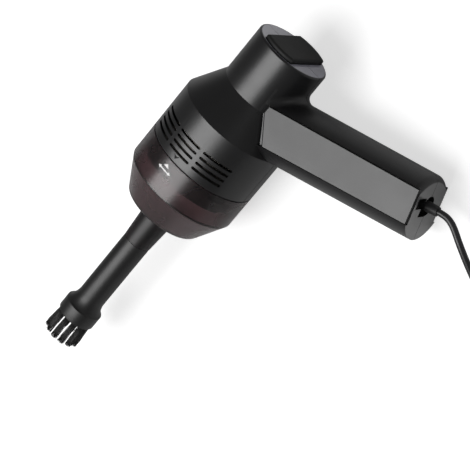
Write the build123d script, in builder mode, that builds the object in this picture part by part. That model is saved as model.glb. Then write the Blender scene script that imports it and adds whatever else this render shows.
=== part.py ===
"""Small hand-held vacuum cleaner on a USB lead, lying on its barrel and the end of its handle.

Millimetres. Stations are measured along the barrel's axis from the seam between barrel and dust
cup, towards the power button. The part's +X runs along the barrel towards the button, -Y towards
the handle, +Z up, and the surface it lies on is Z = 0."""
from build123d import *
import math
import os

os.makedirs("parts", exist_ok=True)

# Housing: barrel, sloping shoulder and neck on one axis
body_radius = 30.6
barrel_end = 27.5
shoulder_end = 45.6
neck_radius = 20.2
neck_top = 73.9
neck_edge = 1.0
neck_blend = 4.0
wall = 2.2
groove_bite = 0.9
seam_relief = 0.3
seam_depth = 0.5

# Handle: its axis crosses the barrel's and leans towards the button
grip_root = 34.8
grip_tilt = 18.85
grip_length = 109.5
grip_half_width = 15.9
grip_lower_flat = 9.2
grip_lower_rise = 8.7
grip_upper_flat = 10.75
grip_upper_rise = 6.3
grip_upper_tilt = 0.92
grip_end_round = 3.6
grip_end_wall = 6.0
plate_depth = 1.7
plate_gap = 0.4
plate_end_gap = 0.5
plate_inner_edge = 1.0
plate_edge = 0.3
plate_corners = [(18.9, 10.45), (17.6, 6.6), (23.2, -9.1)]
plate_lower = -9.1
pocket_start = 2.0
pocket_under = 0.1
pocket_over = 5.0

# Handle's end: cord outlet with its recess, whose two side notches are on the upper half only
outlet_radius = 5.2
outlet_depth = 3.0
notch_high = (4.5, 12.7, -1.2, 4.3)
notch_low = (0.3, 6.6, -5.5, -1.2)
relief_radius = 2.8
relief_tip_radius = 2.45
relief_reach = 6.0
relief_flange_radius = 4.6
relief_flange = 2.0
relief_gap = 0.15

# Outlet vents: rows of slots through the barrel, in three columns on each side
vent_first = 4.9
vent_pitch = 3.3
vent_rows = 4
vent_width = 1.45
vent_columns = [(-34.0, 15.1), (0.0, 12.3), (34.0, 15.1)]

# Screw posts: station and offset of each, head seat below the parting plane
post_radius = 2.6
screw_radius = 1.0
screw_hole = 1.3
screw_head_radius = 2.1
screw_head = 1.4
screw_bore_radius = 2.45
screw_reach = 8.0
screw_gap = 0.03
screw_sink = 0.2
screw_run_out = 1.0
slot_length = 3.4
slot_width = 0.5
slot_depth = 0.5
barrel_post = (23.8, 6.6, 12.0)
neck_post = (53.8, 6.1, 7.5)
grip_posts = [(50.0, -4.5), (92.0, -4.5)]

# Black collar inside the mouth of the barrel, with the bayonet slots
skirt_end = -10.5
skirt_gap = 0.35
skirt_wall = 2.65
ledge = -6.0
ledge_width = 1.8
inlet_radius = 11.0
bulkhead = 2.4
spigot_end = 3.6
spigot_gap = 0.3
spigot_wall = 2.5
flange_start = 1.2
flange_end = 2.6
groove_gap = 0.1

# Dust cup: band, cone and spout
seam_gap = 0.5
cup_edge = -18.5
cup_front = -35.7
cup_front_radius = 21.6
cup_front_round = 1.8
cup_wall = 1.8
spout_radius = 9.1
spout_end = -58.2
spout_end_radius = 7.6
socket_radius = 6.0
socket_length = 11.5
lug_count = 3
lug_width = 18.0
lug_start = -4.5
lug_end = -2.0
lug_height = 1.3
lug_turn = 20.0
lug_first = 20.0
lug_side = 0.15
lug_slack = 1.0
slot_gap = 0.3
gasket = 0.42
gasket_gap = 0.15
gasket_width = 1.3

# Filter behind the dust cup
filter_depth = 3.4
filter_gap = 0.3
filter_rim = 2.2
filter_hub = 4.0
filter_spokes = 6
filter_spoke_width = 1.6
filter_spoke_depth = 1.6
pleat_pitch = 3.0
pleat_height = 2.6
pleat_sheet = 0.7
pleat_gap = 0.3
pleat_seat = 0.1

# Brush nozzle that pushes into the spout
spigot_slide = 5.9
nozzle_spigot = 10.0
nozzle_gap = 0.15
nozzle_radius = 7.5
nozzle_bore = 5.6
nozzle_throat = 4.4
throat_length = 4.0
flare_start = -97.0
head_start = -106.5
head_end = -114.3
head_radius = 10.5
head_round = 1.1
tuft_groove = (7.1, 9.7, 3.8)
backing_gap = 0.1

# Bristles: tufts in a ring, each a bundle of three-sided strands
tuft_count = 12
tuft_first = 15.0
strands_per_tuft = 26
tuft_ring = 8.4
tuft_radius = 0.98
strand_radius = 0.14
bristle_tip = -128.0
tip_ring = 9.0
tip_spread = 1.45
tip_scatter = 0.35
strand_root = 0.4

# Impeller, motor and shaft
impeller_front = 3.8
impeller_plate = 14.4
impeller_back = 15.8
impeller_gap = 2.1
blade_count = 9
blade_thickness = 1.1
blade_inner = 9.0
blade_sweep = 42.0
blade_belly = 0.62
hub_radius = 4.6
shaft_radius = 1.0
shaft_gap = 0.05
fit_gap = 0.02
mount_front = 17.6
mount_back = 19.8
mount_boss = 3.2
mount_slots = 6
mount_slot = (4.8, 7.5, 30.0)
motor_screw_pitch = 16.0
motor_screw = 0.9
motor_screw_head = 1.9
motor_screw_gap = 0.2
motor_radius = 12.2
motor_back = 50.0
motor_skin = 1.0
motor_face = 1.5
motor_boss = 3.0
motor_boss_front = 18.0
cap_front = 48.6
cap_back = 51.5
cap_gap = 0.1
cap_bore_back = 50.4
shaft_back = 50.0
core_front = 26.0
core_back = 42.0
core_radius = 8.6
core_slots = 5
core_slot = (1.4, 3.4)
commutator = (43.2, 47.4, 3.0)
magnet_inner = 9.3
magnet_arc = 124.0
magnet_ends = (25.0, 43.0)
tab_offset = 7.0
tab_end = 54.6
tab_thickness = 0.5
tab_width = 2.0

# Power button and its switch
button_margin = 1.9
button_flat_margin = 10.8
button_proud = 2.5
button_gap = 0.35
button_wall = 1.8
button_edge = 1.2
button_flange = 1.2
button_flange_thick = 1.4
button_stop_gap = 0.1
button_rim_gap = 0.4
button_boss = 3.6
carrier_front = 57.0
carrier_thick = 2.0
carrier_bite = 0.7
carrier_window = (4.0, 9.0)
carrier_notch = (3.0, 7.0)
switch_side = 13.0
switch_height = 7.0
switch_well = 6.0
plunger_side = 3.0
plunger_gap = 0.2
plunger_room = 2.4
prong_offset = 2.5
prong_end = 52.6
prong_width = 1.2
prong_thickness = 0.6
lead_station = 53.6
lead_radius = 0.6
lead_spacing = 0.85
lead_straight = 5.0
lead_corner = 3.0
lead_rise = (34.0, 7.5)
lead_split = -3.5
lead_turn = -15.0

# Lead: round cord, as run lengths with headings and falls in degrees, then the coil and plug
cord_radius = 1.75
run_lengths = [3.9, 3.9, 4.3, 6.5, 12.0, 16.0, 16.0, 14.0]
run_headings = [-89.0, -106.0, -117.0, -121.0, -119.0, -117.0, -120.0]
run_falls = [5.0, 6.0, 8.0, 22.0]
arc_share = 0.45
coil_outer = 28.0
coil_turns = 4
coil_pitch = 3.95
coil_layer = 3.95
tail_lengths = [9.0, 13.0, 13.0, 9.0]
tail_turns = [0.0, -12.0, -10.0, -6.0]
tail_fall = 3.0
plug_body = (24.0, 15.6, 8.0)
plug_body_edge = 1.6
plug_shell = (18.6, 12.0, 4.5)
plug_sheet = 0.3
plug_root = 1.5
plug_window = (2.4, 2.0)
plug_window_reach = 5.9
plug_window_pitch = 7.0
tongue = (16.6, 11.2, 1.8)
contact = (12.0, 1.1, 0.15)
contact_pitch = 2.2
contact_inset = 1.0

# Sizes that follow from the ones above
barrel_bore = body_radius - wall
neck_bore = neck_radius - wall
cup_inner = body_radius - cup_wall
skirt_radius = cup_inner - skirt_gap
skirt_inner = skirt_radius - skirt_wall
ledge_radius = skirt_inner - ledge_width
spigot_radius = barrel_bore - spigot_gap
spigot_inner = spigot_radius - spigot_wall
flange_radius = barrel_bore + groove_bite
mount_radius = barrel_bore + groove_bite
lug_radius = cup_inner - lug_height
slot_floor = lug_radius - slot_gap
gasket_inner = skirt_radius + gasket_gap
gasket_outer = gasket_inner + gasket_width
filter_front = ledge - filter_depth
filter_radius = skirt_inner - filter_gap
pleat_radius = ledge_radius - pleat_gap
impeller_radius = spigot_inner - impeller_gap
button_round = neck_radius - button_margin
button_flat = neck_radius - button_flat_margin
button_rim_radius = neck_bore - button_rim_gap
button_top = neck_top + button_proud
carrier_back = carrier_front + carrier_thick
carrier_radius = neck_bore + carrier_bite
switch_top = carrier_back + switch_height
plunger_well = switch_top - switch_well
plunger_start = plunger_well + plunger_room
plunger_end = button_top - button_wall - button_boss
post_station, post_inset, post_seat = barrel_post
barrel_posts = [(post_station, body_radius - post_inset, post_seat),
                (post_station, post_inset - body_radius, post_seat),
                (neck_post[0], neck_radius - neck_post[1], neck_post[2])]

# Stance: the barrel's side and the corner of the lower side plate touch the surface
tilt = math.radians(grip_tilt)
along = (math.sin(tilt), -math.cos(tilt))
across = (math.cos(tilt), math.sin(tilt))
plate_end = grip_length - plate_end_gap


def side_point(reach, height):
    """Station and offset of a point in the handle's own side view."""
    return (grip_root + reach * along[0] + height * across[0],
            reach * along[1] + height * across[1])


corner = side_point(plate_end, plate_lower)
corner_reach = math.hypot(corner[1], grip_half_width)
lean = math.asin(body_radius / corner_reach) - math.atan2(grip_half_width, -corner[1])
lower_radius = (grip_half_width ** 2 + grip_lower_rise ** 2) / (2 * grip_lower_rise)
upper_radius = (grip_half_width ** 2 + grip_upper_rise ** 2) / (2 * grip_upper_rise)
upper_tip = (grip_upper_flat + grip_upper_rise
             - grip_length * math.tan(math.radians(grip_upper_tilt)))
far_station = side_point(grip_length - grip_end_round, upper_tip - grip_end_round)[0] + grip_end_round
low_turn = math.atan2(math.tan(lean), across[1])
low_height = lower_radius * (1 - math.cos(low_turn)) - grip_lower_flat - grip_lower_rise
low_half = lower_radius * math.sin(low_turn)
far_offset = side_point(grip_length, low_height)[1] * math.cos(lean) - low_half * math.sin(lean)
centre_x = -(far_station + bristle_tip) / 2
centre_y = -(body_radius + far_offset) / 2
stand = Plane(origin=(centre_x, centre_y, body_radius), x_dir=(1, 0, 0),
              z_dir=(0, -math.sin(lean), math.cos(lean)))
barrel_axis = Axis(stand.origin, stand.x_dir)


def station(x):
    """Plane square to the barrel's axis: first axis away from the handle, second upwards."""
    return Plane(stand.from_local_coords((x, 0, 0)), x_dir=stand.y_dir, z_dir=stand.x_dir)


def radial(degrees):
    """Plane through the barrel's axis at an angle from the side away from the handle."""
    turn = math.radians(degrees)
    normal = stand.z_dir * math.cos(turn) - stand.y_dir * math.sin(turn)
    return Plane(stand.origin, x_dir=stand.x_dir, z_dir=normal)


grip_dir = stand.x_dir * along[0] + stand.y_dir * along[1]
grip_side = stand.x_dir * across[0] + stand.y_dir * across[1]
grip_origin = stand.from_local_coords((grip_root, 0, 0))
grip_view = Plane(grip_origin, x_dir=grip_dir, z_dir=-stand.z_dir)
grip_axis = Axis(grip_origin, grip_dir)


def grip_station(reach):
    """Plane square to the handle's axis: first axis towards the button, second upwards."""
    return Plane(grip_origin + grip_dir * reach, x_dir=grip_side, z_dir=grip_dir)


# The handle's side view has its height turned over, so heights are entered with their sign changed
def grip_layer(level):
    """Plane of the handle's side view at a level above the parting plane."""
    return Plane(grip_origin + stand.z_dir * level, x_dir=grip_dir, z_dir=-stand.z_dir)


def arc_rise(radius, inset, half_width):
    """Height of a handle arc's ends below its top, after it is set in."""
    return radius - inset - math.sqrt((radius - inset) ** 2 - half_width ** 2)


def ring(profile, axis=None, plane=None):
    """Solid of revolution from a closed list of station and radius."""
    with BuildPart() as turned:
        with BuildSketch(plane or stand):
            with BuildLine():
                Polyline(*profile, close=True)
            make_face()
        revolve(axis=axis or barrel_axis)
    return turned.part


def sector(x_low, x_high, r_low, r_high, start, sweep):
    """Part of a ring between two stations, two radii and two angles."""
    with BuildPart() as piece:
        with BuildSketch(radial(start)):
            with Locations(((x_low + x_high) / 2, (r_low + r_high) / 2)):
                Rectangle(x_high - x_low, r_high - r_low)
        revolve(axis=barrel_axis, revolution_arc=sweep)
    return piece.part


def block(plane, centre, size, height):
    """Box on a plane, from its sketch to a height."""
    with BuildPart() as piece:
        with BuildSketch(plane):
            with Locations(centre):
                Rectangle(*size)
        extrude(amount=height)
    return piece.part


def rod(plane, centre, radius, height):
    """Round rod on a plane, from its sketch to a height."""
    with BuildPart() as piece:
        with BuildSketch(plane):
            with Locations(centre):
                Circle(radius)
        extrude(amount=height)
    return piece.part


def grip_solid(half_width, inset, end):
    """Handle's solid from the barrel's axis outwards: two arched faces and two flat flanks."""
    upper_crown = grip_upper_flat + grip_upper_rise - inset
    upper_edge = upper_crown - arc_rise(upper_radius, inset, half_width)
    lower_crown = -grip_lower_flat - grip_lower_rise + inset
    lower_edge = lower_crown + arc_rise(lower_radius, inset, half_width)
    slope = math.radians(grip_upper_tilt)
    sloped = Plane(grip_origin, x_dir=grip_side * math.cos(slope) + grip_dir * math.sin(slope),
                   z_dir=grip_dir * math.cos(slope) - grip_side * math.sin(slope))
    with BuildPart() as solid:
        with BuildSketch(grip_station(0)):
            with BuildLine():
                Polyline((lower_edge, half_width), (2 * upper_crown, half_width),
                         (2 * upper_crown, -half_width), (lower_edge, -half_width))
                ThreePointArc((lower_edge, -half_width), (lower_crown, 0), (lower_edge, half_width))
            make_face()
        extrude(amount=end)
        with BuildSketch(sloped):
            with BuildLine():
                Polyline((upper_edge, half_width), (2 * lower_crown, half_width),
                         (2 * lower_crown, -half_width), (upper_edge, -half_width))
                ThreePointArc((upper_edge, -half_width), (upper_crown, 0), (upper_edge, half_width))
            make_face()
        extrude(amount=2 * end, both=True, mode=Mode.INTERSECT)
    return solid.part


shoulder_angle = math.atan2(body_radius - neck_radius, shoulder_end - barrel_end)


def shell_form(inset, start):
    """Barrel, shoulder and neck as one turned solid, set in evenly."""
    shift = inset * math.tan(shoulder_angle / 2)
    return ring([(start, 0), (start, body_radius - inset), (barrel_end - shift, body_radius - inset),
                 (shoulder_end - shift, neck_radius - inset), (neck_top - inset, neck_radius - inset),
                 (neck_top - inset, 0)])


def circle_edges(shape, x, radius):
    """Full or part circles of a turned shape at a station and a radius."""
    chosen = ShapeList()
    for edge in shape.edges().filter_by(GeomType.CIRCLE):
        middle = stand.to_local_coords(edge.arc_center)
        if abs(edge.radius - radius) < 0.01 and abs(middle.X - x) < 0.01:
            chosen.append(edge)
    return chosen


# Outer form with the pockets for the side plates
handle = grip_solid(grip_half_width, 0, grip_length)
end_arc = []
for edge in handle.edges():
    middle = grip_station(grip_length).to_local_coords(edge.center())
    if middle.X > grip_upper_flat and abs(middle.Z) < grip_end_round:
        end_arc.append(edge)
handle = fillet(end_arc, grip_end_round)


def upper_line(reach):
    """Height of the side plate's upper edge at a reach along the handle."""
    fall = (reach - plate_corners[0][0]) * math.tan(math.radians(grip_upper_tilt))
    return plate_corners[0][1] - fall


plate_far = [(plate_end, plate_lower), (plate_end, upper_line(plate_end))]
pocket_end = grip_length + pocket_over
pocket_lower = plate_lower - pocket_under
pocket = [(pocket_start, pocket_lower), (pocket_end, pocket_lower),
          (pocket_end, upper_line(pocket_end) + plate_gap),
          (pocket_start, upper_line(pocket_start) + plate_gap)]
pocket_floor = grip_half_width - plate_depth
sides = {"upper": 1, "lower": -1}
plates = {}
cutters = []
for name, sign in sides.items():
    with BuildPart() as cutter:
        with BuildSketch(grip_layer(sign * pocket_floor)):
            with BuildLine():
                Polyline(*[(w, -v) for w, v in pocket], close=True)
            make_face()
        extrude(amount=-sign * 2 * plate_depth)
    cutters.append(cutter.part)
    with BuildPart() as plate:
        with BuildSketch(grip_layer(sign * pocket_floor)):
            with BuildLine():
                Polyline(*[(w, -v) for w, v in plate_corners + plate_far], close=True)
            make_face()
        extrude(amount=-sign * plate_depth)
        top = [edge for edge in plate.edges()
               if abs(abs(stand.to_local_coords(edge.center()).Z) - grip_half_width) < 0.01]
        inner = [edge for edge in top
                 if grip_station(0).to_local_coords(edge.center()).Z < plate_corners[2][0]]
        chamfer(inner, plate_inner_edge)
        far = [edge for edge in plate.edges()
               if abs(abs(stand.to_local_coords(edge.center()).Z) - grip_half_width) < 0.01
               and grip_station(0).to_local_coords(edge.center()).Z > plate_corners[2][0]]
        chamfer(far, plate_edge)
    plates[name] = plate.part

core = shell_form(0, 0)
joined = handle + core
blend_edges = []
for edge in joined.edges().filter_by(GeomType.BSPLINE):
    middle = stand.to_local_coords(edge.center())
    if middle.X > shoulder_end and abs(math.hypot(middle.Y, middle.Z) - neck_radius) < neck_edge:
        blend_edges.append(edge)
outer = fillet(blend_edges, neck_blend) - [cutter - core for cutter in cutters]
outer = fillet(circle_edges(outer, neck_top, neck_radius), neck_edge)

# Inner form: barrel and neck set in by the wall, handle set in behind its plates
grip_inner_half = pocket_floor - wall
cavity = shell_form(wall, -wall) + grip_solid(grip_inner_half, wall, grip_length - grip_end_wall)
posts = [(x, y) for x, y, seat in barrel_posts] + [side_point(w, v) for w, v in grip_posts]
grip_seat = pocket_floor - screw_head - screw_sink
seats = [seat for x, y, seat in barrel_posts] + [grip_seat] * len(grip_posts)
post_solids = [rod(stand, place, post_radius, body_radius) + rod(stand, place, post_radius, -body_radius)
               for place in posts]
post_form = shell_form(wall / 2, wall) + grip_solid(grip_inner_half + wall / 2, wall / 2,
                                                    grip_length - wall)
shell = outer - cavity + [post & post_form for post in post_solids]

# Grooves that hold the collar, the motor mount and the switch carrier between the halves
grooves = [ring([(low - groove_gap, 0), (low - groove_gap, radius + groove_gap),
                 (high + groove_gap, radius + groove_gap), (high + groove_gap, 0)])
           for low, high, radius in ((flange_start, flange_end, flange_radius),
                                     (mount_front, mount_back, mount_radius),
                                     (carrier_front, carrier_back, carrier_radius))]


# Power button's outline, shared by the button, its opening and its flange
def button_outline(plane, grow, rim):
    """Sketch of the button's plan, grown evenly and kept inside a rim."""
    with BuildSketch(plane) as plan:
        Circle(min(button_round + grow, rim))
        Rectangle(2 * (button_flat + grow), 3 * button_round, mode=Mode.INTERSECT)
    return plan.sketch


opening = extrude(button_outline(station(neck_top - 3 * wall), button_gap, neck_radius), amount=5 * wall)

# Vents, each a slot with round ends through the barrel's wall
vents = []
for side in (90, 270):
    for column, half in vent_columns:
        for row in range(vent_rows):
            x = vent_first + row * vent_pitch
            start = side + column - half
            vents.append(sector(x - vent_width / 2, x + vent_width / 2, body_radius - 2 * wall,
                                body_radius + wall, start, 2 * half))
            for end in (side + column - half, side + column + half):
                turn = math.radians(end)
                out = stand.y_dir * math.cos(turn) + stand.z_dir * math.sin(turn)
                base = stand.from_local_coords((x, 0, 0)) + out * (body_radius - 2 * wall)
                vents.append(rod(Plane(base, x_dir=stand.x_dir, z_dir=out), (0, 0),
                                 vent_width / 2, 3 * wall))

# Cord outlet: recess, its side notches and the hole for the strain relief
outlet = [rod(grip_station(grip_length - outlet_depth), (0, 0), outlet_radius, 2 * outlet_depth)]
for z_low, z_high, v_low, v_high in (notch_high, notch_low):
    outlet.append(block(grip_station(grip_length - outlet_depth),
                        ((v_low + v_high) / 2, (z_low + z_high) / 2),
                        (v_high - v_low, z_high - z_low), 2 * outlet_depth))
outlet.append(rod(grip_station(grip_length - 2 * grip_end_wall), (0, 0),
                  relief_radius + relief_gap, 3 * grip_end_wall))

# Screw holes: pilot in the upper half, clearance hole and head seat in the lower half
drills = []
for place, seat in zip(posts, seats):
    drills.append(rod(stand, place, screw_radius + screw_gap, screw_reach + screw_run_out))
    drills.append(rod(stand, place, screw_hole, -body_radius))
    drills.append(rod(stand.offset(-seat), place, screw_bore_radius, -body_radius))

# Shadow line: both halves are relieved a little where the parting plane meets the outside
relief_slab = block(stand.offset(-seam_relief / 2), (grip_root, 0), (8 * body_radius, 8 * body_radius),
                    seam_relief)
skin = shell_form(seam_depth, -seam_depth) + grip_solid(grip_half_width - seam_depth, seam_depth,
                                                      grip_length - seam_depth)
shell = shell - grooves - [opening] - vents - outlet - drills - (relief_slab - skin)

with BuildPart() as housing_upper:
    add(shell)
    split(bisect_by=stand, keep=Keep.TOP)
with BuildPart() as housing_lower:
    add(shell)
    split(bisect_by=stand, keep=Keep.BOTTOM)

with BuildPart() as housing_screws:
    for place, seat in zip(posts, seats):
        with BuildSketch(stand.offset(-seat)):
            with Locations(place):
                Circle(screw_radius)
        extrude(amount=seat + screw_reach)
        with BuildSketch(stand.offset(-seat)):
            with Locations(place):
                Circle(screw_head_radius)
        extrude(amount=-screw_head)
        with BuildSketch(stand.offset(-seat - screw_head)):
            with Locations(place):
                Rectangle(slot_length, slot_width)
                Rectangle(slot_width, slot_length)
        extrude(amount=slot_depth, mode=Mode.SUBTRACT)

# Collar: flange held by the halves, bulkhead with the inlet, skirt with the bayonet slots
collar_form = ring([(skirt_end, skirt_inner), (skirt_end, skirt_radius), (0, skirt_radius),
                    (0, spigot_radius), (flange_start, spigot_radius), (flange_start, flange_radius),
                    (flange_end, flange_radius), (flange_end, spigot_radius),
                    (spigot_end, spigot_radius), (spigot_end, spigot_inner),
                    (bulkhead, spigot_inner), (bulkhead, inlet_radius), (0, inlet_radius),
                    (0, ledge_radius), (ledge, ledge_radius), (ledge, skirt_inner)])
bayonet = []
for index in range(lug_count):
    start = lug_first + index * 360 / lug_count - lug_slack
    bayonet.append(sector(lug_start - lug_side, lug_end + lug_side, slot_floor, 2 * skirt_radius
                          - slot_floor, start, lug_width + lug_turn + 2 * lug_slack))
    bayonet.append(sector(skirt_end - 1, lug_end + lug_side, slot_floor, 2 * skirt_radius
                          - slot_floor, start + lug_turn, lug_width + 2 * lug_slack))
with BuildPart() as collar:
    add(collar_form - bayonet)

with BuildPart() as seal_ring:
    add(ring([(-gasket, gasket_inner), (-gasket, gasket_outer), (0, gasket_outer), (0, gasket_inner)]))

# Dust cup with its three lugs
cone_angle = math.atan2(body_radius - cup_front_radius, cup_edge - cup_front)
cone_start = cup_edge + cup_wall * math.tan(cone_angle / 2)
front_inner = cup_front + cup_wall
cone_inner = cup_inner - (cone_start - front_inner) * math.tan(cone_angle)
cup_form = ring([(-seam_gap, cup_inner), (-seam_gap, body_radius), (cup_edge, body_radius),
                 (cup_front, cup_front_radius), (cup_front, spout_radius),
                 (spout_end, spout_end_radius), (spout_end, socket_radius),
                 (spout_end + socket_length, socket_radius), (front_inner, spout_radius - cup_wall),
                 (front_inner, cone_inner), (cone_start, cup_inner)])
lugs = [sector(lug_start, lug_end, lug_radius, body_radius - cup_wall / 2,
               lug_first + index * 360 / lug_count, lug_width) for index in range(lug_count)]
with BuildPart() as dust_cup:
    add(cup_form + lugs)
    fillet(circle_edges(dust_cup, cup_front, cup_front_radius), cup_front_round)
    fillet(circle_edges(dust_cup, cup_edge, body_radius), cup_front_round / 2)

# Filter: spoked frame with a pleated sheet behind it
frame_ring = ring([(filter_front, filter_radius - filter_rim), (filter_front, filter_radius),
                   (ledge, filter_radius), (ledge, filter_radius - filter_rim)])
with BuildPart() as filter_frame:
    add(frame_ring)
    with BuildSketch(station(ledge)):
        Circle(filter_hub)
        with PolarLocations((filter_radius - filter_rim / 2) / 2, filter_spokes):
            Rectangle(filter_radius - filter_rim / 2, filter_spoke_width)
    extrude(amount=-filter_spoke_depth)

pleat_count = int(2 * pleat_radius / pleat_pitch) // 2 * 2
pleat_base = ledge + pleat_seat
zigzag = []
for index in range(2 * pleat_count + 1):
    place = (index - pleat_count) * pleat_pitch / 2
    zigzag.append((pleat_base + (pleat_height if index % 2 else 0), place))
sheet = [(x + pleat_sheet, y) for x, y in reversed(zigzag)]
with BuildPart() as filter_sheet:
    with BuildSketch(stand):
        with BuildLine():
            Polyline(*zigzag, *sheet, close=True)
        make_face()
    extrude(amount=body_radius, both=True)
    with BuildSketch(station(ledge)):
        Circle(pleat_radius)
    extrude(amount=body_radius, mode=Mode.INTERSECT)

# Brush nozzle: push-in spigot, tube, flared head with the groove for the bristles
throat_end = spout_end - throat_length
nozzle_face = spout_end - nozzle_gap
groove_inner, groove_outer, groove_depth = tuft_groove
nozzle_form = ring([(spout_end + nozzle_spigot, nozzle_throat), (spout_end + nozzle_spigot, spigot_slide),
                    (nozzle_face, spigot_slide), (nozzle_face, nozzle_radius),
                    (flare_start, nozzle_radius), (head_start, head_radius), (head_end, head_radius),
                    (head_end, groove_outer), (head_end + groove_depth, groove_outer),
                    (head_end + groove_depth, groove_inner), (head_end, groove_inner),
                    (head_end, nozzle_bore), (throat_end, nozzle_bore), (spout_end, nozzle_throat)])
with BuildPart() as brush_nozzle:
    add(nozzle_form)
    fillet(circle_edges(brush_nozzle, flare_start, nozzle_radius), 4 * (head_radius - nozzle_radius))
    fillet(circle_edges(brush_nozzle, head_start, head_radius), 2 * head_round)
    fillet(circle_edges(brush_nozzle, head_end, head_radius), head_round / 2)

# Bristles: golden-angle bundles that open out, so no two strands meet
backing_front = head_end + backing_gap
backing = ring([(backing_front, groove_inner + backing_gap), (backing_front, groove_outer - backing_gap),
                (head_end + groove_depth, groove_outer - backing_gap),
                (head_end + groove_depth, groove_inner + backing_gap)])
golden = math.pi * (3 - math.sqrt(5))
strands = []
for tuft in range(tuft_count):
    turn = math.radians(tuft_first + 360 * tuft / tuft_count) - lean
    out = stand.y_dir * math.cos(turn) + stand.z_dir * math.sin(turn)
    side = stand.z_dir * math.cos(turn) - stand.y_dir * math.sin(turn)
    for index in range(strands_per_tuft):
        reach = tuft_radius * math.sqrt((index + 0.5) / strands_per_tuft)
        a = reach * math.cos(index * golden)
        b = reach * math.sin(index * golden)
        root = stand.from_local_coords((backing_front + strand_root, 0, 0))
        root = root + out * (tuft_ring + a) + side * b
        tip_x = bristle_tip + tip_scatter * (1 + math.sin(7 * index + 3 * tuft)) / 2
        tip = stand.from_local_coords((tip_x, 0, 0))
        tip = tip + out * (tip_ring + a * tip_spread) + side * (b * tip_spread)
        way = tip - root
        section = Plane(root, x_dir=out.cross(way), z_dir=way) * RegularPolygon(strand_radius, 3)
        strands.append(extrude(section, amount=way.length))
brush_bristles = backing + strands

# Impeller: back plate, hub and curved blades
with BuildPart() as impeller:
    with BuildSketch(station(impeller_plate)):
        Circle(impeller_radius)
    extrude(amount=impeller_back - impeller_plate)
    with BuildSketch(station(impeller_front)):
        Circle(hub_radius)
    extrude(amount=impeller_plate - impeller_front)
    with BuildSketch(station(impeller_front)):
        for index in range(blade_count):
            turn = 360 * index / blade_count
            first = (blade_inner, turn)
            middle = ((blade_inner + impeller_radius) / 2, turn - blade_belly * blade_sweep)
            last = (impeller_radius - blade_thickness, turn - blade_sweep)
            marks = [(r * math.cos(math.radians(t)), r * math.sin(math.radians(t)))
                     for r, t in (first, middle, last)]
            with BuildLine():
                vane = ThreePointArc(*marks)
            trace(vane, blade_thickness)
    extrude(amount=impeller_plate - impeller_front)
    with BuildSketch(station(impeller_front)):
        Circle(shaft_radius + fit_gap)
    extrude(amount=impeller_back - impeller_front, mode=Mode.SUBTRACT)

with BuildPart() as motor_shaft:
    with BuildSketch(station(impeller_front)):
        Circle(shaft_radius)
    extrude(amount=shaft_back - impeller_front)

# Motor mount: ported plate held between the halves, with two screws into the motor's face
port_rim, port_width, port_sweep = mount_slot
port_outer = mount_radius - port_rim
port_inner = port_outer - port_width
ports = [sector(mount_front - 1, mount_back + 1, port_inner, port_outer,
                index * 360 / mount_slots + (360 / mount_slots - port_sweep) / 2, port_sweep)
         for index in range(mount_slots)]
screw_places = [(motor_screw_pitch / 2, 0), (-motor_screw_pitch / 2, 0)]
with BuildPart() as motor_mount:
    with BuildSketch(station(mount_front)):
        Circle(mount_radius)
        Circle(mount_boss, mode=Mode.SUBTRACT)
        with Locations(*screw_places):
            Circle(motor_screw + motor_screw_gap, mode=Mode.SUBTRACT)
    extrude(amount=mount_back - mount_front)
    add(ports, mode=Mode.SUBTRACT)
with BuildPart() as motor_screws:
    for place in screw_places:
        with BuildSketch(station(mount_front)):
            with Locations(place):
                Circle(motor_screw)
        extrude(amount=mount_back - mount_front + motor_face)
        with BuildSketch(station(mount_front)):
            with Locations(place):
                Circle(motor_screw_head)
        extrude(amount=-motor_screw)

can_inner = motor_radius - motor_skin
can_form = ring([(motor_boss_front, shaft_radius + shaft_gap), (motor_boss_front, motor_boss),
                 (mount_back, motor_boss), (mount_back, motor_radius), (motor_back, motor_radius),
                 (motor_back, can_inner), (mount_back + motor_face, can_inner),
                 (mount_back + motor_face, shaft_radius + shaft_gap)])
with BuildPart() as motor_can:
    add(can_form)
    for place in screw_places:
        with BuildSketch(station(mount_back - 1)):
            with Locations(place):
                Circle(motor_screw + fit_gap)
        extrude(amount=motor_face + 2, mode=Mode.SUBTRACT)

with BuildPart() as motor_cap:
    add(ring([(cap_front, shaft_radius + shaft_gap), (cap_front, can_inner - cap_gap),
              (cap_back, can_inner - cap_gap), (cap_back, 0), (cap_bore_back, 0),
              (cap_bore_back, shaft_radius + shaft_gap)]))
with BuildPart() as motor_tabs:
    with BuildSketch(station(cap_back)):
        with Locations((0, tab_offset), (0, -tab_offset)):
            Rectangle(tab_width, tab_thickness)
    extrude(amount=tab_end - cap_back)

slot_across, slot_reach = core_slot
with BuildPart() as armature:
    with BuildSketch(station(core_front)):
        Circle(core_radius)
        with PolarLocations(core_radius, core_slots):
            Rectangle(2 * slot_reach, slot_across, mode=Mode.SUBTRACT)
        Circle(shaft_radius + fit_gap, mode=Mode.SUBTRACT)
    extrude(amount=core_back - core_front)
with BuildPart() as commutator_ring:
    with BuildSketch(station(commutator[0])):
        Circle(commutator[2])
        Circle(shaft_radius + fit_gap, mode=Mode.SUBTRACT)
    extrude(amount=commutator[1] - commutator[0])
with BuildPart() as magnets:
    for start in (90 - magnet_arc / 2, 270 - magnet_arc / 2):
        add(sector(magnet_ends[0], magnet_ends[1], magnet_inner, can_inner - cap_gap, start, magnet_arc))

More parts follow.
